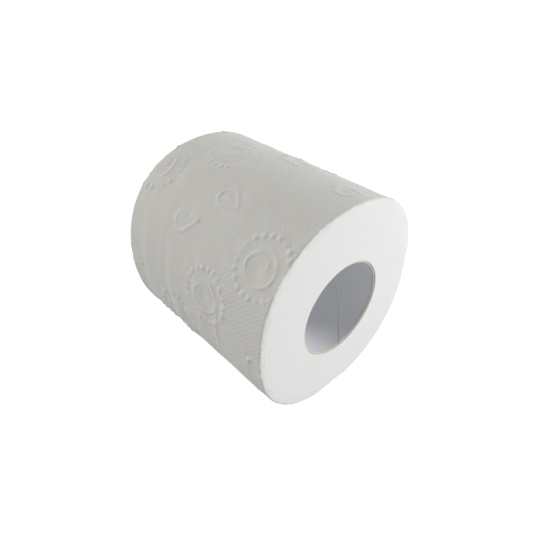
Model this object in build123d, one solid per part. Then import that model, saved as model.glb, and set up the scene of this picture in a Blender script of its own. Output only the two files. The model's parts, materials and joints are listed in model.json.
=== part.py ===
from build123d import *
from math import cos, radians, sin
import os

# A small household toilet roll lying on its side, axis along Y, resting on a pressed flat.
# Two pieces: the wound tissue, and the cardboard tube that it is wound on.
# Millimetres, +Z up. The origin is on the surface it rests on, below the middle of the roll.

# The wound tissue. Its section is a circle that packing has pressed a little out of round.
mean_radius = 49.0         # of the section, before it was pressed
oval_depth = 1.2           # how far the top and bottom stand out, and the two sides sink in
square_depth = 0.8         # how far the four shoulders stand out, and the stretches between sink in
roll_width = 95.0          # along the axis: the width of one sheet
flat_depth = 1.0           # how far its own weight presses the lowest stretch flat
flat_blend_radius = 25.0   # where the flat turns up into the round section
rim_radius = 0.8           # the soft outer edge of each end
outline_step = 15          # degrees between the points that the section's curve passes through

# The cardboard tube. The tissue is wound straight onto it, so both share this radius.
core_outer_radius = 23.0
core_wall = 1.0
core_drop = 0.6            # the tube hangs this far below the middle of the section
core_setback = 0.4         # the tissue stands this far proud of the tube at each end


def section_radius(angle):
    """Distance from the middle of the section to its outline. 0 is +X and 90 is up."""
    oval = oval_depth * cos(radians(2 * angle))
    square = square_depth * cos(radians(4 * angle))
    return mean_radius - oval - square


resting_height = section_radius(270) - flat_depth    # of the section's middle above the surface
core_height = resting_height - core_drop             # of the tube's axis above the surface
core_inner_radius = core_outer_radius - core_wall
core_length = roll_width - 2 * core_setback


def end_plane(length):
    """The upright plane at the far end of a piece of this length, centred on the origin."""
    return Plane.XZ.offset(-length / 2)


def pressed_section():
    """The tissue's outline, with the flat that it rests on, in local X and height."""
    points = []
    for angle in range(0, 360, outline_step):
        reach = section_radius(angle)
        points.append((reach * cos(radians(angle)), resting_height + reach * sin(radians(angle))))
    outline = make_face(Spline(*points, periodic=True))
    below_surface = Pos(0, -mean_radius) * Rectangle(4 * mean_radius, 2 * mean_radius)
    pressed = outline - below_surface
    flat_ends = pressed.vertices().sort_by(Axis.Y)[:2]
    return fillet(flat_ends, flat_blend_radius)


def make_tissue_roll():
    """All the turns as one solid, with the hole that the tube fills."""
    section = pressed_section() - Pos(0, core_height) * Circle(core_outer_radius)
    roll = extrude(end_plane(roll_width) * section, roll_width)
    rims = []
    for end_face in (roll.faces().sort_by(Axis.Y)[0], roll.faces().sort_by(Axis.Y)[-1]):
        rims += end_face.outer_wire().edges()
    return fillet(rims, rim_radius)


def make_core_tube():
    """The spirally glued tube, one stiff piece of cardboard."""
    ring = Circle(core_outer_radius) - Circle(core_inner_radius)
    return extrude(end_plane(core_length) * Pos(0, core_height) * ring, core_length)


pieces = {
    "tissue_roll": make_tissue_roll(),
    "core_tube": make_core_tube(),
}

os.makedirs("parts", exist_ok=True)
for name, piece in pieces.items():
    export_step(piece, f"parts/{name}.step")
    size = piece.bounding_box().size
    print(f"{name}: {size.X:.2f} x {size.Y:.2f} x {size.Z:.2f} mm, {piece.volume / 1000:.1f} cm3")

resting_face = pieces["tissue_roll"].faces().sort_by(Axis.Z)[0]
print(f"flat it rests on: {resting_face.bounding_box().size.X:.1f} mm wide, tube axis {core_height:.2f} mm up")
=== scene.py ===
# %% [markdown]
# # A toilet roll lying on its side
# A toilet roll is one long web of soft tissue, wound on a cardboard tube. The web leaves the embossing
# rollers with raised ornaments and a fine all-over waffle, is wound up tight, and is sawn to length.
# This notebook builds the looks of such a roll round a fixed frame that holds its true sizes.
# The frame comes first, because the sizes below are read from it or built round it.

# %% Load the frame
import json
import math

import bpy
import numpy as np
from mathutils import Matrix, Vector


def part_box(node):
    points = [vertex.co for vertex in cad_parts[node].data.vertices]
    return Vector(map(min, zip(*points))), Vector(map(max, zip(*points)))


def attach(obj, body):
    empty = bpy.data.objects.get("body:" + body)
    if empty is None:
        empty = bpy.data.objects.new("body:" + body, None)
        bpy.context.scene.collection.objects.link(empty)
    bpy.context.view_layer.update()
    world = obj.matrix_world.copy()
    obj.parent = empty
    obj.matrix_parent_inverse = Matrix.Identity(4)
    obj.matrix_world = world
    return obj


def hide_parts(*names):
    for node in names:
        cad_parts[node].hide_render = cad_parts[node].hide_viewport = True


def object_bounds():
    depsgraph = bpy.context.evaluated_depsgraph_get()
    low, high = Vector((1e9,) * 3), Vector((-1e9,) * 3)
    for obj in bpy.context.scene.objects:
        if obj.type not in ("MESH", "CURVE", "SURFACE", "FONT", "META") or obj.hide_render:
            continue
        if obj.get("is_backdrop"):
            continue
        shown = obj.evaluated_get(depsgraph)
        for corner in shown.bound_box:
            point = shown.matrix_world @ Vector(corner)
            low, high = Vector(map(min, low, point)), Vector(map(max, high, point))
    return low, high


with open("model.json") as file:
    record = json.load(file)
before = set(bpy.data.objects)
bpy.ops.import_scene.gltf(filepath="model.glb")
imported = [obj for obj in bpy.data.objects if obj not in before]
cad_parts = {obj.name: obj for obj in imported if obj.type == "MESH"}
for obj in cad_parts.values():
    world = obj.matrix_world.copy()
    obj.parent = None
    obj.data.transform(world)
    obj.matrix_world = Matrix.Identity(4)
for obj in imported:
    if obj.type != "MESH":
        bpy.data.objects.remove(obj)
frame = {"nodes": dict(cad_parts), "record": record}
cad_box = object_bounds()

for cad_object in frame["nodes"].values():
    cad_object.select_set(False)

# %% [markdown]
# ## The sizes of the roll
# The frame is in metres. Millimetres are kinder to think in for something as small as this, so MM turns
# one into the other. The width of the roll and both radii of the tube are read from the frame. The frame
# also says how high the axis of the tube is above the surface that the roll rests on.

# %% Read the sizes from the frame
MM = 0.001

roll_low, roll_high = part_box("tissue_roll")
core_low, core_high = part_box("core_tube")
bore = next(mount for mount in frame["record"]["mounts"] if mount["name"] == "core_bore")

HALF_WIDTH = (roll_high[1] - roll_low[1]) / 2
CORE_HALF_LENGTH = (core_high[1] - core_low[1]) / 2
CORE_OUTER = (core_high[0] - core_low[0]) / 2
CORE_INNER = bore["dims"]["r_mm"] * MM
CORE_HEIGHT = bore["pos_m"][2]
print(f"roll {2 * HALF_WIDTH / MM:.1f} mm wide, tube {2 * CORE_OUTER / MM:.1f} mm across outside")

# %% [markdown]
# ## The outline of the section
# Rolls are packed tightly, so none stays truly round. This one is a little taller than wide, has four
# faint shoulders, and its own weight presses a small flat where it rests. A circle with two cosine waves
# added gives the shoulders, and a soft floor at height zero gives the flat. The outline is kept as a
# table of places by distance along the web, counted from the top of the roll towards -X, because
# that is how far the paper has travelled when it gets there.

# %% Tabulate the outline by distance along the web
MEAN_RADIUS = 49.0 * MM
OVAL_DEPTH = 1.2 * MM
SQUARE_DEPTH = 0.8 * MM
SECTION_HEIGHT = roll_high[2] - (MEAN_RADIUS + OVAL_DEPTH - SQUARE_DEPTH)
FLAT_SOFTNESS = 0.3 * MM


def section_radius(angle):
    """Distance from the middle of the section to its outline, before the flat is pressed."""
    return MEAN_RADIUS - OVAL_DEPTH * np.cos(2 * angle) - SQUARE_DEPTH * np.cos(4 * angle)


def rest_on_surface(height):
    """Nothing goes below the surface, and what would is pressed flat just above it."""
    return (height + np.sqrt(height ** 2 + FLAT_SOFTNESS ** 2)) / 2


outline_angle = np.linspace(math.pi / 2, math.pi * 5 / 2, 7201)
outline_x = section_radius(outline_angle) * np.cos(outline_angle)
outline_z = rest_on_surface(SECTION_HEIGHT + section_radius(outline_angle) * np.sin(outline_angle))
steps = np.hypot(np.diff(outline_x), np.diff(outline_z))
outline_travel = np.concatenate([[0], np.cumsum(steps)])
PERIMETER = outline_travel[-1]
normal_x = np.gradient(outline_z, outline_travel)
normal_z = -np.gradient(outline_x, outline_travel)
print(f"the web goes {PERIMETER / MM:.1f} mm in one turn")


def on_outline(travel):
    """Place and outward direction on the outline, for distances travelled along the web."""
    travel = np.mod(travel, PERIMETER)
    columns = (outline_x, outline_z, normal_x, normal_z)
    return [np.interp(travel, outline_travel, column) for column in columns]


# %% [markdown]
# ## Small helpers
# Blender's operators act on whatever is selected, so each new piece starts with nothing selected.
# Reading and writing a whole mesh at once through numpy is thousands of times faster than vertex by
# vertex, and a sheet of paper with its relief has tens of thousands of vertices.

# %% Helpers to start a piece and to move its vertices


def start_fresh():
    """Leave edit mode and deselect everything, as before any new primitive."""
    if bpy.context.object and bpy.context.object.mode == "EDIT":
        bpy.ops.object.mode_set(mode="OBJECT")
    bpy.ops.object.select_all(action="DESELECT")


def read_points(piece):
    """All vertices of a piece as an array of x, y, z."""
    points = np.empty(len(piece.data.vertices) * 3)
    piece.data.vertices.foreach_get("co", points)
    return points.reshape(-1, 3)


def write_points(piece, points):
    """Put an array of x, y, z back as the vertices of a piece."""
    piece.data.vertices.foreach_set("co", np.asarray(points, float).ravel())
    piece.data.update()


def write_uv(piece, name, u, v):
    """Give each face corner the u and v of its vertex."""
    layer = piece.data.uv_layers.get(name) or piece.data.uv_layers.new(name=name)
    corner_vertex = np.empty(len(piece.data.loops), dtype=int)
    piece.data.loops.foreach_get("vertex_index", corner_vertex)
    layer.data.foreach_set("uv", np.stack([u[corner_vertex], v[corner_vertex]], 1).ravel())
    piece.data.uv_layers.active = layer


def smoothstep(low, high, value):
    """0 below low, 1 above high, and a soft climb between."""
    share = np.clip((value - low) / (high - low), 0, 1)
    return share * share * (3 - 2 * share)


# %% [markdown]
# ## The ornaments, drawn as heights
# The real ornament is engraved on a steel roller and pressed into the flat web. Here a function plays
# the roller: given how far along the web (`s`) and how far from the near edge (`y`) a point is, in
# millimetres, it returns how high the paper stands there. The ornament is of a common kind: a ring of
# beads round a curl, repeated along slanting rows, with loose petals between the rows.

# %% Place the ornaments on the web
RING_START = (41.0, 11.0)
ALONG_ROW = (25.0, 24.0)
NEXT_ROW = (-40.0, 56.0)
PETAL_OFFSET = (-17.0, 34.0)
SECOND_PETAL_OFFSET = (1.0, 48.0)
WEB_WIDTH = 2 * HALF_WIDTH / MM
TURN_LENGTH = PERIMETER / MM
MARGIN = 16.0


def repeat_over_web(offset, first_s, last_s, every=1):
    """Places of one ornament wherever its slanting rows cross a stretch of the web."""
    places = []
    for row in range(-14, 15):
        for item in range(-24, 25):
            if item % every:
                continue
            s = RING_START[0] + offset[0] + item * ALONG_ROW[0] + row * NEXT_ROW[0]
            y = RING_START[1] + offset[1] + item * ALONG_ROW[1] + row * NEXT_ROW[1]
            if first_s - MARGIN < s < last_s + MARGIN and -MARGIN < y < WEB_WIDTH + MARGIN:
                places.append((s, y))
    return places


print(len(repeat_over_web((0, 0), 0, TURN_LENGTH)), "beaded rings on one turn")

# %% Draw a ring of beads round a curl
BEAD_COUNT = 22
BEAD_CIRCLE = 12.3
BEAD_REACH = 1.9
BEAD_HEIGHT = 0.40
CURL_RADIUS = 7.3
CURL_TIGHTENS_AFTER = 0.85
CURL_TIGHTENING = 9.0
CURL_LAPS = 1.42
CURL_LINE = 0.65
CURL_HEIGHT = 0.30
CURL_OPENS_AT = 0.62


def ring_relief(ds, dy):
    """Height of one beaded ring at places measured from its middle."""
    reach = np.hypot(ds, dy)
    turn = np.arctan2(dy, ds) / (2 * math.pi)
    off_bead = turn * BEAD_COUNT - np.round(turn * BEAD_COUNT)
    sideways = off_bead / BEAD_COUNT * 2 * math.pi * reach
    outwards = reach - BEAD_CIRCLE
    beads = np.clip(1 - (outwards ** 2 + sideways ** 2) / BEAD_REACH ** 2, 0, 1) ** 2
    curl = np.zeros_like(reach)
    for lap in range(3):
        laps_done = np.mod(turn + CURL_OPENS_AT, 1) + lap
        radius = CURL_RADIUS - CURL_TIGHTENING * np.clip(laps_done - CURL_TIGHTENS_AFTER, 0, None)
        line = np.exp(-(((reach - radius) / CURL_LINE) ** 2))
        ends = smoothstep(0.0, 0.10, laps_done) * (1 - smoothstep(CURL_LAPS - 0.15, CURL_LAPS, laps_done))
        curl = np.maximum(curl, line * ends)
    return np.maximum(BEAD_HEIGHT * beads, CURL_HEIGHT * curl)


# %% Draw a petal
PETAL_ROUND = 4.3
PETAL_TIP = 8.8
PETAL_LINE = 0.72
PETAL_HEIGHT = 0.34
PETAL_TILT = math.radians(-74)
SECOND_PETAL_TILT = math.radians(-112)
PETAL_TAPER = math.asin(PETAL_ROUND / PETAL_TIP)


def petal_relief(ds, dy, tilt):
    """Height of one petal: a circle, the two lines that touch it from a tip, and a short rib."""
    along = ds * math.cos(tilt) + dy * math.sin(tilt)
    across = np.abs(dy * math.cos(tilt) - ds * math.sin(tilt))
    from_circle = np.hypot(along, across) - PETAL_ROUND
    from_line = along * math.sin(PETAL_TAPER) + across * math.cos(PETAL_TAPER) - PETAL_ROUND
    on_circle = along * math.cos(PETAL_TAPER) < across * math.sin(PETAL_TAPER)
    from_edge = np.where(on_circle, from_circle, from_line)
    edge = np.exp(-((from_edge / PETAL_LINE) ** 2)) * (1 - smoothstep(PETAL_TIP, PETAL_TIP + 0.8, along))
    rib_length = smoothstep(-1.5, 0.5, along) * (1 - smoothstep(3.5, 5.5, along))
    rib = 0.45 * np.exp(-((across / PETAL_LINE) ** 2)) * rib_length
    return PETAL_HEIGHT * np.maximum(edge, rib)


# %% [markdown]
# ## The waffle and the soft unevenness
# Between the ornaments the whole web carries a fine waffle of small dots, in rows set half a step apart.
# Handling has crushed it in some places, and has pressed some beads flatter than others. Paper puckers
# round each ornament, thin folds run round the roll where the winding was loose, and the paper
# swells between them. All of it comes from a few waves of a seeded draw, so every run gives the same roll.

# %% Soft fields made of seeded waves
def seeded_waves(seed, count, shortest, longest, stretch=1.0):
    """Waves in all directions, between two lengths in mm, drawn out along the web by a stretch."""
    draw = np.random.default_rng(seed)
    per_mm = 1 / draw.uniform(shortest, longest, count)
    heading = draw.uniform(0, 2 * math.pi, count)
    phase = draw.uniform(0, 1, count)
    return list(zip(np.cos(heading) * per_mm / stretch, np.sin(heading) * per_mm, phase))


def soft_field(s, y, waves):
    """The sum of a set of waves, mostly between -1 and 1."""
    total = sum(np.sin(2 * math.pi * (s * per_s + y * per_y + phase)) for per_s, per_y, phase in waves)
    return total / math.sqrt(len(waves))


SWELLS = seeded_waves(11, 9, 15, 40, stretch=3.5)
PATCHES = seeded_waves(12, 7, 22, 50)
PRESSING = seeded_waves(13, 9, 5, 13)
PUCKERS = seeded_waves(14, 11, 5.5, 12)
WANDER_S = seeded_waves(15, 5, 14, 30)
WANDER_Y = seeded_waves(16, 5, 14, 30)

# %% Draw the waffle and the folds
WAFFLE_STEP_S = 2.27
WAFFLE_STEP_Y = 2.38
WAFFLE_HEIGHT = 0.085
HANDLED_FROM = 36.0
HANDLED_TO = 80.0
HANDLED_SWING = 18.0
HANDLED_LEAST_AT = -20.0
FOLDS = [
    # y, first s, last s, height, width
    (69.0, 38.0, 104.0, 0.14, 2.2),
    (26.5, 55.0, 96.0, 0.24, 1.0),
    (60.0, 46.0, 112.0, 0.10, 2.0),
    (81.0, 30.0, 120.0, 0.12, 2.6),
    (8.5, 70.0, 130.0, 0.16, 1.0),
    (47.0, 180.0, 236.0, 0.25, 1.4),
    (18.0, 196.0, 230.0, 0.18, 1.0),
    (76.0, -52.0, -18.0, 0.22, 1.3),
]


def waffle_relief(s, y):
    """Height of the fine waffle, weaker where handling has crushed it."""
    round_the_roll = 1 - np.cos(2 * math.pi * (s - HANDLED_LEAST_AT) / TURN_LENGTH)
    handled = smoothstep(HANDLED_FROM, HANDLED_TO, y + HANDLED_SWING * round_the_roll)
    crispness = (1 - 0.85 * handled) * np.clip(0.85 + 0.2 * soft_field(s, y, PATCHES), 0.4, 1.1)
    dots = np.cos(2 * math.pi * s / WAFFLE_STEP_S) * np.cos(2 * math.pi * y / WAFFLE_STEP_Y)
    return WAFFLE_HEIGHT * crispness * dots


def fold_relief(s, y):
    """Height of the thin folds that run round the roll."""
    total = np.zeros_like(s)
    for fold_y, first, last, height, width in FOLDS:
        wander = 0.8 * np.sin(s / 13 + fold_y)
        middle = (s - first) * (last - s) / ((last - first) / 2) ** 2
        line = np.exp(-(((y - fold_y - wander) / width) ** 2))
        total += height * line * np.clip(middle, 0, 1)
    return total


# %% Add everything up into one relief
SWELL_HEIGHT = 0.10
PUCKER_HEIGHT = 0.11
WANDER = 0.38


def web_relief(s, y, rings, petals, second_petals):
    """Height of the paper above its nominal surface, and of the ornaments alone, in millimetres."""
    ornament = np.zeros_like(s)
    bare = np.zeros_like(s)
    puckered = np.zeros_like(s)
    printed_s = s + WANDER * soft_field(s, y, WANDER_S)
    printed_y = y + WANDER * soft_field(s, y, WANDER_Y)
    for ring_s, ring_y in rings:
        ds, dy = printed_s - ring_s, printed_y - ring_y
        reach = np.hypot(ds, dy)
        near = reach < MARGIN
        ornament[near] = np.maximum(ornament[near], ring_relief(ds[near], dy[near]))
        bare = np.maximum(bare, 0.8 * (1 - smoothstep(BEAD_CIRCLE - 1.5, BEAD_CIRCLE + 1.8, reach)))
        puckered = np.maximum(puckered, 1 - smoothstep(BEAD_CIRCLE, BEAD_CIRCLE + 8, reach))
    for places, tilt in ((petals, PETAL_TILT), (second_petals, SECOND_PETAL_TILT)):
        for petal_s, petal_y in places:
            ds, dy = printed_s - petal_s, printed_y - petal_y
            reach = np.hypot(ds, dy)
            near = reach < MARGIN
            ornament[near] = np.maximum(ornament[near], petal_relief(ds[near], dy[near], tilt))
            bare = np.maximum(bare, 0.7 * (1 - smoothstep(3.6, 6.6, reach)))
            puckered = np.maximum(puckered, 0.6 * (1 - smoothstep(6.0, 12.0, reach)))
    ornament *= np.clip(0.82 + 0.45 * soft_field(s, y, PRESSING), 0.15, 1.3)
    uneven = SWELL_HEIGHT * soft_field(s, y, SWELLS)
    uneven += PUCKER_HEIGHT * (0.15 + 0.85 * puckered) * soft_field(s, y, PUCKERS)
    return ornament + uneven + fold_relief(s, y) + (1 - bare) * waffle_relief(s, y), ornament


# %% [markdown]
# ## The outermost turn
# The outside of the roll is its last turn: two whole sheets and two part ones, joined at the
# perforations. Each sheet starts as a flat grid at its real size, because the web is embossed while it
# is flat. Its edge is extruded down for the thickness of the paper, its underside is bridged with long
# faces, which is enough where nobody looks, and the two ends are filled, so the sheet is a closed skin.

# %% Lay one sheet out flat
SHEET_THICKNESS = 0.45
GRID_STEP = 0.40


def select_edges(piece, wanted):
    """Select the edges whose middles pass a test. The test gets arrays of x, y, z."""
    points = read_points(piece)
    ends = np.empty(len(piece.data.edges) * 2, dtype=int)
    piece.data.edges.foreach_get("vertices", ends)
    first, second = points[ends[0::2]], points[ends[1::2]]
    chosen = wanted(first, second)
    piece.data.vertices.foreach_set("select", np.zeros(len(points), dtype=bool))
    piece.data.polygons.foreach_set("select", np.zeros(len(piece.data.polygons), dtype=bool))
    piece.data.edges.foreach_set("select", chosen)


def lay_flat_sheet(name, first_s, last_s):
    """A flat closed sheet: x along the web, y across it, its top at height zero."""
    length, width = (last_s - first_s) * MM, WEB_WIDTH * MM
    start_fresh()
    bpy.ops.mesh.primitive_grid_add(
        x_subdivisions=round(length / MM / GRID_STEP),
        y_subdivisions=round(width / MM / GRID_STEP),
        size=1,
        location=(0, 0, 0),
    )
    sheet = bpy.context.object
    sheet.name = sheet.data.name = name
    bpy.ops.object.mode_set(mode="EDIT")
    bpy.ops.mesh.select_mode(type="EDGE")
    bpy.ops.transform.resize(value=(length, width, 1))
    bpy.ops.transform.translate(value=((first_s + last_s) / 2 * MM, 0, 0))
    bpy.ops.mesh.select_all(action="DESELECT")
    bpy.ops.mesh.select_non_manifold()
    down = (0, 0, -SHEET_THICKNESS * MM)
    bpy.ops.mesh.extrude_edges_move(TRANSFORM_OT_translate={"value": down})
    bpy.ops.object.mode_set(mode="OBJECT")

    def lower_long_edges(first, second):
        lower = (first[:, 2] < down[2] / 2) & (second[:, 2] < down[2] / 2)
        return lower & (np.abs(first[:, 1] - second[:, 1]) < 0.01 * MM)

    select_edges(sheet, lower_long_edges)
    bpy.ops.object.mode_set(mode="EDIT")
    bpy.ops.mesh.bridge_edge_loops()
    bpy.ops.mesh.select_all(action="DESELECT")
    bpy.ops.mesh.select_non_manifold()
    bpy.ops.mesh.fill_holes(sides=0)
    bpy.ops.mesh.select_all(action="SELECT")
    bpy.ops.mesh.normals_make_consistent(inside=False)
    bpy.ops.object.mode_set(mode="OBJECT")
    return sheet


# %% [markdown]
# ## Winding the sheets on
# A curve modifier could bend a flat sheet round the roll. A formula is used instead, because it
# keeps the step under the loose end, the flat and the sawn edges exact: each vertex is carried
# to its place on the outline, raised by its relief along the outward direction there. One turn further on
# the web lies one thickness deeper, which makes the small step at the loose end.

# %% Shape the rim where the saw cut
RIM_FALL = 0.26
RIM_REACH = 1.5
EDGE_DROP = 0.14
EDGE_REACH = 0.7
EDGE_WAVER = 0.16
EDGE_WAVES = ((7, 0.3), (16, 1.9), (31, 4.0), (53, 5.2))


def rim_fall(depth_mm):
    """How far the sawn end curls back near the rim, by depth below the outside."""
    return RIM_FALL * (1 - smoothstep(0, RIM_REACH, depth_mm)) ** 2


def edge_waver(s, end):
    """How far the soft rim gives way, which changes round the roll and from end to end."""
    total = sum(np.sin(2 * math.pi * count * s / TURN_LENGTH + phase + end) for count, phase in EDGE_WAVES)
    return EDGE_WAVER * (1 + total / 3)


def free_of_surface(z):
    """0 where the roll rests on the surface, 1 where nothing touches it."""
    return smoothstep(0.1, 1.2, z / MM)


# %% Wind a flat sheet round the roll
TAIL_S = -68.0
TAIL_LIFT = 0.30
PERFORATION_DEPTH = 0.22
PERFORATION_STEP = 4.0
PERFORATIONS = (-28.0, 94.0, 216.0)


def perforation_relief(s, y):
    """Dashed cuts across the web, with short ties between them."""
    cut = smoothstep(0.12, 0.24, np.abs(np.mod(y / PERFORATION_STEP, 1) - 0.5))
    lines = sum(np.exp(-(((s - place) / 0.45) ** 2)) for place in PERFORATIONS)
    return -PERFORATION_DEPTH * cut * lines


def turn_depth(s):
    """How deep the web lies below the outline, after travelling on from the loose end."""
    return SHEET_THICKNESS * (s - TAIL_S) / TURN_LENGTH


def wind_sheet(sheet, first_s, last_s):
    """Emboss a flat sheet and carry it to its place on the roll."""
    flat = read_points(sheet)
    s, y, level = flat[:, 0] / MM, flat[:, 1] / MM + WEB_WIDTH / 2, flat[:, 2] / MM
    rings = repeat_over_web((0, 0), first_s, last_s)
    petals = repeat_over_web(PETAL_OFFSET, first_s, last_s, every=2)
    second_petals = repeat_over_web(SECOND_PETAL_OFFSET, first_s, last_s, every=2)
    relief, ornament = web_relief(s, y, rings, petals, second_petals)
    x, z, out_x, out_z = on_outline(s * MM)
    free = free_of_surface(z) * smoothstep(0, 3, TAIL_S + TURN_LENGTH - s)
    top = level > -SHEET_THICKNESS / 2
    height = level - free_of_surface(z) * turn_depth(s) + TAIL_LIFT * np.exp(-(s - TAIL_S) / 1.6)
    at_edge = 1 - smoothstep(0, EDGE_REACH, np.minimum(y, WEB_WIDTH - y))
    height += np.where(top, free * (relief + perforation_relief(s, y)) - EDGE_DROP * at_edge, 0)
    end = np.sign(flat[:, 1])
    back = at_edge * (rim_fall(-level) + edge_waver(s, end))
    x, z = x + out_x * height * MM, z + out_z * height * MM
    write_points(sheet, np.stack([x, flat[:, 1] - end * back * MM, np.maximum(z, 0)], 1))
    write_uv(sheet, "web", s / 10, y / 10)
    # The ornaments' height is kept on the mesh; the tissue material uses it to paint raised parts lighter, a
    # painted highlight.
    raised = sheet.data.attributes.new("raised", "FLOAT", "POINT")
    raised.data.foreach_set("value", np.where(top, free * ornament / BEAD_HEIGHT, 0))


# %% Make the sheets of the outermost turn
SHEETS = {
    "tail_sheet": (TAIL_S, PERFORATIONS[0]),
    "outer_sheet_1": (PERFORATIONS[0], PERFORATIONS[1]),
    "outer_sheet_2": (PERFORATIONS[1], PERFORATIONS[2]),
    "outer_sheet_3": (PERFORATIONS[2], TAIL_S + TURN_LENGTH + 1.5),
}
sheets = []
for sheet_name, (first_s, last_s) in SHEETS.items():
    sheet = lay_flat_sheet(sheet_name, first_s, last_s)
    wind_sheet(sheet, first_s, last_s)
    bpy.ops.object.shade_smooth_by_angle(angle=math.radians(50))
    sheets.append(sheet)
    triangles = sum(len(face.vertices) - 2 for face in sheet.data.polygons)
    print(f"{sheet_name}: {last_s - first_s:.0f} mm of web, {triangles} triangles")

# %% [markdown]
# ## The wound turns behind it
# The sawn ends show the edges of all the turns. They are one piece: a thin upright rectangle, the
# build-up of the paper, spun once round the axis. Its two short sides are subdivided first, because
# they become the ends and need points for their relief. After spinning, the round ring is
# pressed to the roll's section: points at the tube stay on its circle, points outside move to the
# outline, and those between move in proportion, as turns of paper do.

# %% Spin the build-up of the paper round the axis
END_RINGS = 64
SPIN_STEPS = 512
UNDER_SHEET = 0.03


def spin_rectangle(name, inner, outer, half_length, end_cuts, side_cuts, steps):
    """A closed ring spun from a rectangle, round the Y axis through the origin."""
    start_fresh()
    bpy.ops.mesh.primitive_plane_add(size=1, location=(0, 0, 0))
    ring = bpy.context.object
    ring.name = ring.data.name = name
    bpy.ops.object.mode_set(mode="EDIT")
    bpy.ops.transform.resize(value=(outer - inner, 2 * half_length, 1))
    bpy.ops.transform.translate(value=((inner + outer) / 2, 0, 0))
    bpy.ops.mesh.delete(type="ONLY_FACE")
    bpy.ops.mesh.select_mode(type="EDGE")
    for cuts, axis in ((end_cuts, 1), (side_cuts, 0)):
        if cuts:
            bpy.ops.object.mode_set(mode="OBJECT")
            select_edges(ring, lambda a, b: np.abs(a[:, axis] - b[:, axis]) < 0.001 * MM)
            bpy.ops.object.mode_set(mode="EDIT")
            bpy.ops.mesh.subdivide(number_cuts=cuts)
    bpy.ops.mesh.select_all(action="SELECT")
    bpy.ops.mesh.spin(steps=steps, angle=2 * math.pi, center=(0, 0, 0), axis=(0, 1, 0))
    bpy.ops.mesh.select_all(action="SELECT")
    bpy.ops.mesh.remove_doubles(threshold=0.001 * MM)
    bpy.ops.mesh.normals_make_consistent(inside=False)
    bpy.ops.object.mode_set(mode="OBJECT")
    return ring


turns = spin_rectangle("wound_turns", CORE_OUTER, MEAN_RADIUS, HALF_WIDTH, END_RINGS - 1, 0, SPIN_STEPS)
print("wound_turns:", len(turns.data.vertices), "vertices")

# %% Press the ring to the roll's section and shape its sawn ends
TURN_RELIEF = 0.02
BORE_FALL = 0.08
BORE_REACH = 0.7
WAVER_REACH = 3.0

draw = np.random.default_rng(23)
end_waves = [(draw.uniform(0.6, 2.6), draw.integers(-3, 4), draw.uniform(0, 1)) for _ in range(14)]


def end_relief(angle, depth_mm):
    """Unevenness of a sawn end: groups of turns stand a hair proud or lie back."""
    total = np.zeros_like(angle)
    for per_cm, around, phase in end_waves:
        total += np.sin(2 * math.pi * (depth_mm * per_cm / 6 + phase) + around * angle)
    return TURN_RELIEF * total / len(end_waves) * 2


ring_points = read_points(turns)
ring_radius = np.hypot(ring_points[:, 0], ring_points[:, 2])
ring_angle = np.arctan2(ring_points[:, 2], ring_points[:, 0])
outwards = (ring_radius - CORE_OUTER) / (MEAN_RADIUS - CORE_OUTER)
since_top = np.mod(ring_angle - math.pi / 2, 2 * math.pi)
travel = np.interp(since_top + math.pi / 2, outline_angle, outline_travel)
x, z, out_x, out_z = on_outline(travel)
s = np.mod(travel / MM - TAIL_S, TURN_LENGTH) + TAIL_S
below = (SHEET_THICKNESS + free_of_surface(z) * turn_depth(s) + UNDER_SHEET) * MM
x, z = x - out_x * below, z - out_z * below
core_x = CORE_OUTER * np.cos(ring_angle)
core_z = CORE_HEIGHT + CORE_OUTER * np.sin(ring_angle)
pressed_x = core_x + (x - core_x) * outwards
pressed_z = core_z + (z - core_z) * outwards
build_up = (MEAN_RADIUS - CORE_OUTER) / MM
depth_mm = (1 - outwards) * build_up
end = np.sign(ring_points[:, 1])
fall = rim_fall(depth_mm + SHEET_THICKNESS)
fall += edge_waver(s, end) * (1 - smoothstep(0, WAVER_REACH, depth_mm))
fall += BORE_FALL * (1 - smoothstep(0, BORE_REACH, build_up - depth_mm)) ** 2
fall += TURN_RELIEF - end_relief(ring_angle + end, depth_mm)
end_y = end * (HALF_WIDTH - np.maximum(fall, 0) * MM)
write_points(turns, np.stack([pressed_x, end_y, pressed_z], 1))
start_fresh()
turns.select_set(True)
bpy.context.view_layer.objects.active = turns
bpy.ops.object.shade_smooth_by_angle(angle=math.radians(50))

# %% [markdown]
# ## The cardboard tube
# A tube like this is made from strips of board wound in a spiral round a mandrel and glued. Inside, one
# strip's edges meet in a fine seam that climbs the wall like a screw thread. The tube is spun straight
# first, with the seam as a straight groove along the bottom. The columns of faces are drawn towards the
# seam, so that the narrow groove has points enough. A twist then turns the groove into a helix.

# %% Spin the tube with a straight seam
TUBE_ROWS = 96
TUBE_STEPS = 240
WALL_CUTS = 3
SEAM_CROWDING = 0.93
SEAM_HALF_WIDTH = 0.17
SEAM_DEPTH = 0.32
LAP_STEP = 0.10
LAP_WIDTH = 2.2
MOUTH_ROUNDING = 0.22
MOUTH_RAGGED = 0.07

wall = (CORE_INNER, CORE_OUTER, CORE_HALF_LENGTH)
tube = spin_rectangle("spiral_tube", *wall, WALL_CUTS, TUBE_ROWS - 1, TUBE_STEPS)
tube_points = read_points(tube)
tube_radius = np.hypot(tube_points[:, 0], tube_points[:, 2])
spun_angle = np.arctan2(tube_points[:, 2], tube_points[:, 0])
from_seam = spun_angle - SEAM_CROWDING * np.sin(spun_angle)
arc_mm = from_seam * CORE_INNER / MM
inwards = (CORE_OUTER - tube_radius) / (CORE_OUTER - CORE_INNER)
groove = SEAM_DEPTH * np.exp(-((arc_mm / SEAM_HALF_WIDTH) ** 2))
lap = LAP_STEP * smoothstep(0, 0.15, arc_mm) * (1 - smoothstep(LAP_WIDTH, LAP_WIDTH + 1.5, arc_mm))
tube_radius = tube_radius + inwards * (groove - lap) * MM
from_end = CORE_HALF_LENGTH - np.abs(tube_points[:, 1])
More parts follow.
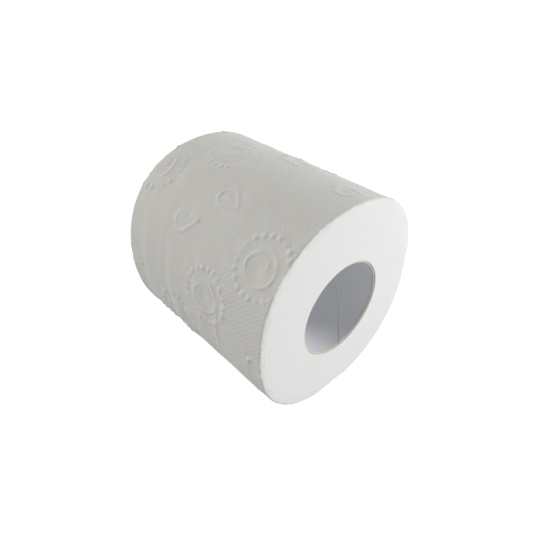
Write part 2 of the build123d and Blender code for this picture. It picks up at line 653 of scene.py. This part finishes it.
at_mouth = from_end < 0.001 * MM
corner = np.abs(inwards - 0.5) * 2
draw = np.random.default_rng(5)
ragged = sum(np.sin(k * spun_angle + p) for k, p in zip((3, 7, 13, 29), draw.uniform(0, 6.3, 4))) / 4
tube_y = tube_points[:, 1] - np.sign(tube_points[:, 1]) * at_mouth * MM * (
    MOUTH_ROUNDING * corner ** 4 + MOUTH_RAGGED * (1 + ragged)
)
tube_radius += np.where(at_mouth, (corner ** 4) * np.sign(inwards - 0.5) * 0.12 * MM, 0)
straight = np.stack([tube_radius * np.cos(from_seam), tube_y, tube_radius * np.sin(from_seam)], 1)
write_points(tube, straight)
write_uv(tube, "board", arc_mm / 10, tube_y / MM / 10)
print(f"the tube has {len(tube.data.polygons)} faces")

# %% Twist the seam into a helix and put the tube in its place
SEAM_TURN_PER_MM = 3.126
SEAM_ANGLE_AT_MOUTH = -86.0

start_fresh()
tube.select_set(True)
bpy.context.view_layer.objects.active = tube
twist = tube.modifiers.new("spiral winding", "SIMPLE_DEFORM")
twist.deform_method = "TWIST"
twist.deform_axis = "Y"
twist.angle = -math.radians(SEAM_TURN_PER_MM * 2 * CORE_HALF_LENGTH / MM)
bpy.ops.object.modifier_apply(modifier=twist.name)

near_mouth_seam = (np.abs(arc_mm) < 0.01) & (inwards > 0.9) & at_mouth & (tube_y < 0)


def seam_angle():
    """Where the seam meets the near mouth, in degrees from +X towards up, before the tube is lifted."""
    place = read_points(tube)[near_mouth_seam].mean(0)
    return math.degrees(math.atan2(place[2], place[0]))


turn_by = math.radians(SEAM_ANGLE_AT_MOUTH - seam_angle())
bpy.ops.object.mode_set(mode="EDIT")
bpy.ops.mesh.select_all(action="SELECT")
bpy.ops.transform.rotate(value=turn_by, orient_axis="Y", center_override=(0, 0, 0))
bpy.ops.object.mode_set(mode="OBJECT")
print(f"the seam meets the near mouth at {seam_angle():.1f} degrees")
bpy.ops.object.mode_set(mode="EDIT")
bpy.ops.transform.translate(value=(0, 0, CORE_HEIGHT))
bpy.ops.object.mode_set(mode="OBJECT")
bpy.ops.object.shade_smooth_by_angle(angle=math.radians(50))

# %% [markdown]
# ## Materials
# Each material is a short chain of nodes. Tissue is a matt mat of fine fibres: its colour hardly varies,
# so its look comes from small bumps at two scales, and from light that goes a little way in and comes
# out again, which the subsurface values stand for. A helper adds a node, sets what is given by name and
# hooks up its inputs, which keeps each material to a few readable lines.

# %% Helpers to build node materials


def new_material(name, colour, roughness):
    """A node material with its uniform values set on the shader itself."""
    material = bpy.data.materials.new(name)
    material.use_nodes = True
    shader = material.node_tree.nodes["Principled BSDF"]
    shader.inputs["Base Color"].default_value = (*colour, 1)
    shader.inputs["Roughness"].default_value = roughness
    shader.inputs["Specular IOR Level"].default_value = 0.25
    return material, material.node_tree, shader


def add_node(tree, kind, inputs=None, **settings):
    """Add a node, set its properties, and link or set its inputs by name or number."""
    node = tree.nodes.new(kind)
    for key, value in settings.items():
        setattr(node, key, value)
    for key, value in (inputs or {}).items():
        if isinstance(value, bpy.types.NodeSocket):
            tree.links.new(value, node.inputs[key])
        else:
            node.inputs[key].default_value = value
    return node


def add_math(tree, operation, first, second=0.0, third=0.0):
    """One Math node's output."""
    return add_node(tree, "ShaderNodeMath", {0: first, 1: second, 2: third}, operation=operation).outputs[0]


def two_colours(tree, amount, first, second):
    """A mix of two colours."""
    mix = add_node(tree, "ShaderNodeMix", {"Factor": amount}, data_type="RGBA")
    mix.inputs[6].default_value = (*first, 1)
    mix.inputs[7].default_value = (*second, 1)
    return mix.outputs[2]


def soft_step(tree, value, start, stop):
    """A smooth climb from 0 at start to 1 at stop, or a fall where stop is less."""
    limits = {"Value": value, "From Min": start, "From Max": stop}
    return add_node(tree, "ShaderNodeMapRange", limits, interpolation_type="SMOOTHSTEP").outputs["Result"]


def fibre_heights(tree, coordinates, coarse, fine):
    """Clumps and single fibres, as one height from 0 to 1."""
    clumps = add_node(tree, "ShaderNodeTexNoise", {"Vector": coordinates, "Scale": coarse, "Detail": 3.0})
    fibres = add_node(tree, "ShaderNodeTexNoise", {"Vector": coordinates, "Scale": fine, "Detail": 2.0})
    lot = add_math(tree, "MULTIPLY", clumps.outputs["Fac"], 0.6)
    return add_math(tree, "MULTIPLY_ADD", fibres.outputs["Fac"], 0.4, lot)


# %% The embossed tissue of the outermost turn
TISSUE_LIGHT = (0.86, 0.86, 0.85)
TISSUE_DARK = (0.78, 0.78, 0.765)

tissue, tree, shader = new_material("embossed tissue", TISSUE_LIGHT, 0.95)
shader.inputs["Sheen Weight"].default_value = 0.15
shader.inputs["Sheen Roughness"].default_value = 0.5
shader.inputs["Subsurface Weight"].default_value = 0.3
shader.inputs["Subsurface Radius"].default_value = (1.0, 0.95, 0.9)
shader.inputs["Subsurface Scale"].default_value = 0.4 * MM
place = add_node(tree, "ShaderNodeTexCoord").outputs["Object"]
fibres = fibre_heights(tree, place, 900, 3600)
raised = add_node(tree, "ShaderNodeAttribute", attribute_name="raised").outputs["Fac"]
# Raised ornaments are painted lighter than the flat web: a painted highlight over the fibre tone.
fibres_and_painted_highlight = add_math(tree, "MULTIPLY_ADD", raised, 0.25, fibres)
tree.links.new(two_colours(tree, fibres_and_painted_highlight, TISSUE_DARK, TISSUE_LIGHT), shader.inputs["Base Color"])
bump = add_node(tree, "ShaderNodeBump", {"Height": fibres, "Strength": 0.5, "Distance": 0.12 * MM})
tree.links.new(bump.outputs["Normal"], shader.inputs["Normal"])

# %% [markdown]
# ## The sawn ends
# A log saw cuts through hundreds of soft layers at once. Their edges show as very faint rings, broken
# where the saw has dragged fluff over them. Each ring is a shallow bump, and its groove is darkened with
# painted shade. The rings follow a coordinate stored on the mesh, so they keep to the pressed shape of the
# turns.

# %% The sawn ends of the wound turns
TURN_COUNT = 74
END_FIBRE_AND_GROOVE_SHADE = (0.82, 0.82, 0.81)
turn_number = np.arctan2(ring_points[:, 2], ring_points[:, 0]) / (2 * math.pi)
write_uv(turns, "turns", outwards, turn_number)

ends, tree, shader = new_material("sawn tissue", TISSUE_LIGHT, 0.95)
shader.inputs["Sheen Weight"].default_value = 0.15
shader.inputs["Sheen Roughness"].default_value = 0.5
shader.inputs["Subsurface Weight"].default_value = 0.3
shader.inputs["Subsurface Radius"].default_value = (1.0, 0.95, 0.9)
shader.inputs["Subsurface Scale"].default_value = 0.4 * MM
place = add_node(tree, "ShaderNodeTexCoord").outputs["Object"]
uv = add_node(tree, "ShaderNodeUVMap", uv_map="turns").outputs["UV"]
share = add_node(tree, "ShaderNodeSeparateXYZ", {"Vector": uv}).outputs["X"]
drag = add_node(tree, "ShaderNodeTexNoise", {"Vector": place, "Scale": 160.0, "Detail": 2.0}).outputs["Fac"]
wavering = add_math(tree, "MULTIPLY_ADD", drag, 0.016, share)
phase = add_math(tree, "FRACT", add_math(tree, "MULTIPLY", wavering, TURN_COUNT))
layer = add_math(tree, "PINGPONG", phase, 0.5)
fibres = fibre_heights(tree, place, 700, 3000)
height = add_math(tree, "MULTIPLY_ADD", layer, 0.45, fibres)
# The colour follows fibre tone, plus painted shade in the groove between turns where the ring bump dips.
tree.links.new(two_colours(tree, height, END_FIBRE_AND_GROOVE_SHADE, TISSUE_LIGHT), shader.inputs["Base Color"])
bump = add_node(tree, "ShaderNodeBump", {"Height": height, "Strength": 0.25, "Distance": 0.10 * MM})
tree.links.new(bump.outputs["Normal"], shader.inputs["Normal"])

# %% [markdown]
# ## The board of the tube
# The tube is grey recycled board: smooth from the mandrel inside, with specks and a faint lengthwise
# fibre, and a dark line in the seam. Beside the seam, where one strip laps over it, a paler band is a painted
# highlight on the raised edge. The sawn mouth is lighter and warmer, because the saw opens the board's middle.

# %% Grey board inside, paler where it is cut
BOARD_GREY = (0.80, 0.81, 0.84)
BOARD_DARK = (0.73, 0.74, 0.77)
BOARD_CUT = (0.60, 0.55, 0.48)
PAINTED_LAP_HIGHLIGHT = (0.83, 0.84, 0.86)
FRAYED_DARK = (0.56, 0.51, 0.45)
FRAYED_LIGHT = (0.80, 0.75, 0.68)

board, tree, shader = new_material("grey core board", BOARD_GREY, 0.8)
place = add_node(tree, "ShaderNodeTexCoord").outputs["Object"]
uv = add_node(tree, "ShaderNodeUVMap", uv_map="board").outputs["UV"]
around = add_node(tree, "ShaderNodeSeparateXYZ", {"Vector": uv}).outputs["X"]
fibres = fibre_heights(tree, place, 500, 2600)
grey = two_colours(tree, fibres, BOARD_DARK, BOARD_GREY)
# A paler band beside the seam, where the lapping strip stands up: a painted highlight.
lap_highlight_band = add_math(tree, "MULTIPLY", soft_step(tree, around, 0.01, 0.03), soft_step(tree, around, 0.22, 0.12))
lap_highlight_share = add_math(tree, "MULTIPLY", lap_highlight_band, 0.6)
with_lap_highlight = add_node(tree, "ShaderNodeMix", {"Factor": lap_highlight_share, 6: grey}, data_type="RGBA")
with_lap_highlight.inputs[7].default_value = (*PAINTED_LAP_HIGHLIGHT, 1)
tree.links.new(with_lap_highlight.outputs[2], shader.inputs["Base Color"])
bump = add_node(tree, "ShaderNodeBump", {"Height": fibres, "Strength": 0.35, "Distance": 0.06 * MM})
tree.links.new(bump.outputs["Normal"], shader.inputs["Normal"])

cut, tree, shader = new_material("cut core board", BOARD_CUT, 0.9)
place = add_node(tree, "ShaderNodeTexCoord").outputs["Object"]
fibres = fibre_heights(tree, place, 1200, 4200)
tree.links.new(two_colours(tree, fibres, FRAYED_DARK, FRAYED_LIGHT), shader.inputs["Base Color"])
bump = add_node(tree, "ShaderNodeBump", {"Height": fibres, "Strength": 0.6, "Distance": 0.08 * MM})
tree.links.new(bump.outputs["Normal"], shader.inputs["Normal"])

# %% [markdown]
# ## Put the materials on and tie the pieces to the frame
# The tube carries both board materials: the saw frays the board for about a millimetre, so every face
# whose middle is as near to a mouth as that takes the cut one. Each piece then rides on the frame's only
# body, and the frame's own solids are hidden.

# %% Assign materials and bodies, and hide the frame's solids
CUT_BAND = 0.9 * MM

for sheet in sheets:
    sheet.data.materials.append(tissue)
turns.data.materials.append(ends)
tube.data.materials.append(board)
tube.data.materials.append(cut)
face_middles = np.empty(len(tube.data.polygons) * 3)
tube.data.polygons.foreach_get("center", face_middles)
from_mouth = CORE_HALF_LENGTH - np.abs(face_middles.reshape(-1, 3)[:, 1])
tube.data.polygons.foreach_set("material_index", (from_mouth < CUT_BAND).astype(int))

for piece in [*sheets, turns]:
    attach(piece, "root")
    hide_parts("tissue_roll")
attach(tube, "root")
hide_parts("core_tube")

# %% [markdown]
# ## A place to show it
# A pale floor, a white surround and soft light. The camera is turned to the left side of the near end
# and looks down on it. Only to the camera is the floor as white as paper; to everything else it is
# a plain pale floor, so it throws no more light on the roll than a real one would. A low window on the
# right lights the near end. A lamp far behind on the left rakes across the embossing, which shows its relief.

# %% Floor and surround
start_fresh()
bpy.ops.mesh.primitive_plane_add(size=8, location=(0, 0, 0))
floor = bpy.context.object
floor.name = floor.data.name = "floor"
floor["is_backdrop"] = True


def seen_directly(tree):
    """1 for what the camera sees, straight, in a mirror or through glass."""
    path = add_node(tree, "ShaderNodeLightPath")
    seen = add_math(tree, "MAXIMUM", path.outputs["Is Camera Ray"], path.outputs["Is Glossy Ray"])
    return add_math(tree, "MAXIMUM", seen, path.outputs["Is Transmission Ray"])


pale = bpy.data.materials.new("pale floor")
pale.use_nodes = True
tree = pale.node_tree
tree.nodes.clear()
plain = add_node(tree, "ShaderNodeBsdfDiffuse", {"Color": (0.75, 0.75, 0.75, 1)})
shade = add_node(tree, "ShaderNodeBsdfDiffuse", {"Color": (0.55, 0.55, 0.55, 1)})
glow = add_node(tree, "ShaderNodeEmission", {"Color": (1, 1, 1, 1), "Strength": 0.80})
white = add_node(tree, "ShaderNodeAddShader", {0: shade.outputs[0], 1: glow.outputs[0]})
mix = add_node(tree, "ShaderNodeMixShader", {0: seen_directly(tree), 1: plain.outputs[0], 2: white.outputs[0]})
add_node(tree, "ShaderNodeOutputMaterial", {"Surface": mix.outputs[0]})
floor.data.materials.append(pale)

# %% Soft light
WORLD_STRENGTH = 0.32
WORLD_COLOUR = (1.0, 0.985, 0.95, 1)

world = bpy.data.worlds.new("soft surround")
bpy.context.scene.world = world
world.use_nodes = True
tree = world.node_tree
tree.nodes.clear()
lit = add_node(tree, "ShaderNodeBackground", {"Color": WORLD_COLOUR, "Strength": WORLD_STRENGTH})
white = add_node(tree, "ShaderNodeBackground", {"Color": (1, 1, 1, 1), "Strength": 1.0})
mix = add_node(tree, "ShaderNodeMixShader", {0: seen_directly(tree), 1: lit.outputs[0], 2: white.outputs[0]})
add_node(tree, "ShaderNodeOutputWorld", {"Surface": mix.outputs[0]})


def add_softbox(name, place, aim, size, watts, colour):
    """A square area lamp at a place, facing a point."""
    lamp = bpy.data.lights.new(name, "AREA")
    lamp.size, lamp.energy, lamp.color = size, watts, colour
    holder = bpy.data.objects.new(name, lamp)
    bpy.context.scene.collection.objects.link(holder)
    holder.location = place
    towards = aim - holder.location
    holder.rotation_euler = towards.to_track_quat("-Z", "Y").to_euler()


roll_middle = (cad_box[0] + cad_box[1]) / 2
add_softbox("window", (0.50, -0.62, 0.17), roll_middle, 0.3, 4.3, (0.96, 0.985, 1.0))
add_softbox("far lamp", (-0.70, 1.70, 1.20), roll_middle, 0.7, 21.0, (1.0, 0.975, 0.91))

# %% Camera
CAMERA_TURN = math.radians(42.5)
CAMERA_ELEVATION = math.radians(37.3)
CAMERA_DISTANCE = 225.8 * MM
AIM_OFFSET = (-1.2 * MM, -3.2 * MM, -4.2 * MM)
LENS = 30.88

camera = bpy.data.objects.new("camera", bpy.data.cameras.new("camera"))
bpy.context.scene.collection.objects.link(camera)
bpy.context.scene.camera = camera
camera.data.lens = LENS
camera.data.sensor_width = 36
camera.data.clip_start = 0.01
back = bpy.context.scene.camera.location.copy()
back.x = -math.sin(CAMERA_TURN) * math.cos(CAMERA_ELEVATION)
back.y = -math.cos(CAMERA_TURN) * math.cos(CAMERA_ELEVATION)
back.z = math.sin(CAMERA_ELEVATION)
aim = roll_middle.copy()
for axis in range(3):
    aim[axis] += AIM_OFFSET[axis]
camera.location = aim + back * CAMERA_DISTANCE
camera.rotation_euler = (-back).to_track_quat("-Z", "Y").to_euler()

bpy.context.scene.view_settings.view_transform = "Standard"

# %% [markdown]
# ## Print the sizes and finish
# The looks may stand only a hair outside the frame's box, so both boxes are written down to be compared.

# %% Write both boxes down and finish
shown_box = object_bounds()
boxes = {"cad": [list(corner) for corner in cad_box], "visual": [list(corner) for corner in shown_box]}
for name, corners in boxes.items():
    print(name, [[round(value / MM, 2) for value in corner] for corner in corners])
